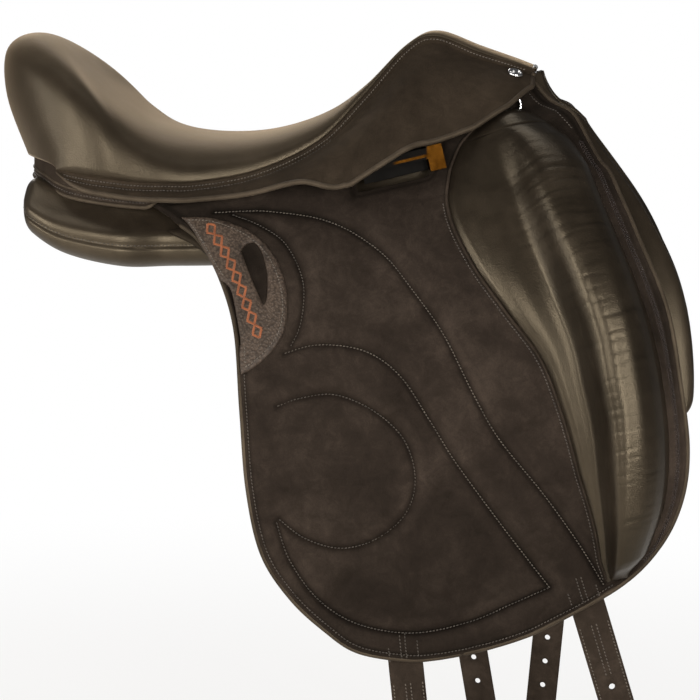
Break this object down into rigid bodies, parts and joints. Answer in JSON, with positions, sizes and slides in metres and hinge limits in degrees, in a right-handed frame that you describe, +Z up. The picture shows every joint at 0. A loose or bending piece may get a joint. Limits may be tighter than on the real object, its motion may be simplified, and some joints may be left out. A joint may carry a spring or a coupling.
{
  "type": "dressage saddle",
  "caption": "Deep-seated dressage saddle with long padded flaps, knee blocks, recessed stirrup bars, rings and hanging girth billets; the flaps lift and the billets swing.",
  "frame": {"origin": "on the centre line, straight below the lowest point of the seat, level with the underside of the panels", "axes": "+X forward to the pommel, +Y to the horse's left, +Z up"},
  "size_m": [0.6263, 0.4248, 0.7769],
  "materials": {
    "nubuck": "matt waxed nubuck with stitching",
    "smooth_leather": "smooth satin black leather",
    "grain_leather": "pebble-grained brown-grey leather",
    "chrome": "polished",
    "steel": "plain",
    "brass": "satin, gold coloured",
    "black_plastic": "matt",
    "timber": "laminated, lacquered",
    "webbing": "woven",
    "foam": "open-cell foam with a knitted face"
  },
  "bodies": {
    "saddle": {"tree": "timber", "head_plate": "steel", "tree_rivets": "steel", "seat_webbing": "webbing", "seat_foam": "foam", "seat_cover": "smooth_leather", "rear_facing": "smooth_leather", "pommel_facing": "smooth_leather", "pommel_studs": "chrome", "bar_rivets": "steel", "seat_welt_right": "smooth_leather", "seat_welt_left": "smooth_leather", "skirt_right": "nubuck", "skirt_left": "nubuck", "panel_right": "smooth_leather", "panel_left": "smooth_leather", "front_roll_right": "smooth_leather", "front_roll_left": "smooth_leather", "flap_hanger_right": "nubuck", "flap_hanger_left": "nubuck", "stirrup_bar_right": "brass", "stirrup_bar_left": "brass", "bar_recess_right": "black_plastic", "bar_recess_left": "black_plastic", "ring_staple_right": "chrome", "ring_staple_left": "chrome"},
    "right_flap": {"flap_right": "nubuck", "flap_lining_right": "smooth_leather", "knee_block_right": "smooth_leather", "keeper_patch_right": "grain_leather", "girth_webs_right": "webbing"},
    "left_flap": {"flap_left": "nubuck", "flap_lining_left": "smooth_leather", "knee_block_left": "smooth_leather", "keeper_patch_left": "grain_leather", "girth_webs_left": "webbing"},
    "right_catch": {"bar_catch_right": "brass"},
    "left_catch": {"bar_catch_left": "brass"},
    "right_ring": {"front_ring_right": "chrome"},
    "left_ring": {"front_ring_left": "chrome"},
    "right_front_billet": {"billet_front_right": "nubuck"},
    "left_front_billet": {"billet_front_left": "nubuck"},
    "right_rear_billet": {"billet_rear_right": "nubuck"},
    "left_rear_billet": {"billet_rear_left": "nubuck"}
  },
  "joints": [
    {"name": "right_flap_lift", "type": "hinge", "parent": "saddle", "child": "right_flap", "pos_m": [-0.072, -0.126, 0.042], "axis": [-0.9626, -0.144, -0.2293], "range_deg": [0, 15]},
    {"name": "right_front_billet_swing", "type": "hinge", "parent": "right_flap", "child": "right_front_billet", "pos_m": [0.32366, -0.16726, -0.28575], "axis": [-0.9458, -0.1415, -0.2924], "range_deg": [-20, 60]},
    {"name": "right_rear_billet_swing", "type": "hinge", "parent": "right_flap", "child": "right_rear_billet", "pos_m": [0.16722, -0.19083, -0.33472], "axis": [-0.9836, -0.1471, -0.1045], "range_deg": [-20, 60]},
    {"name": "right_catch_turn", "type": "hinge", "parent": "saddle", "child": "right_catch", "pos_m": [0.13503, -0.1102, 0.09182], "axis": [-0.1479, 0.989, 0], "range_deg": [0, 45]},
    {"name": "right_ring_swing", "type": "hinge", "parent": "saddle", "child": "right_ring", "pos_m": [0.25021, -0.06, 0.1515], "axis": [-1, 0, 0], "range_deg": [-5, 12]},
    {"name": "left_flap_lift", "type": "hinge", "parent": "saddle", "child": "left_flap", "pos_m": [-0.072, 0.126, 0.042], "axis": [0.9626, -0.144, 0.2293], "range_deg": [0, 15]},
    {"name": "left_front_billet_swing", "type": "hinge", "parent": "left_flap", "child": "left_front_billet", "pos_m": [0.29639, 0.17152, -0.30438], "axis": [0.9852, -0.1474, -0.0872], "range_deg": [-20, 60]},
    {"name": "left_rear_billet_swing", "type": "hinge", "parent": "left_flap", "child": "left_rear_billet", "pos_m": [0.19592, 0.18658, -0.33091], "axis": [0.974, -0.1457, 0.1736], "range_deg": [-20, 60]},
    {"name": "left_catch_turn", "type": "hinge", "parent": "saddle", "child": "left_catch", "pos_m": [0.13503, 0.1102, 0.09182], "axis": [0.1479, 0.989, 0], "range_deg": [0, 45]},
    {"name": "left_ring_swing", "type": "hinge", "parent": "saddle", "child": "left_ring", "pos_m": [0.25021, 0.06, 0.1515], "axis": [1, 0, 0], "range_deg": [-5, 12]}
  ]
}
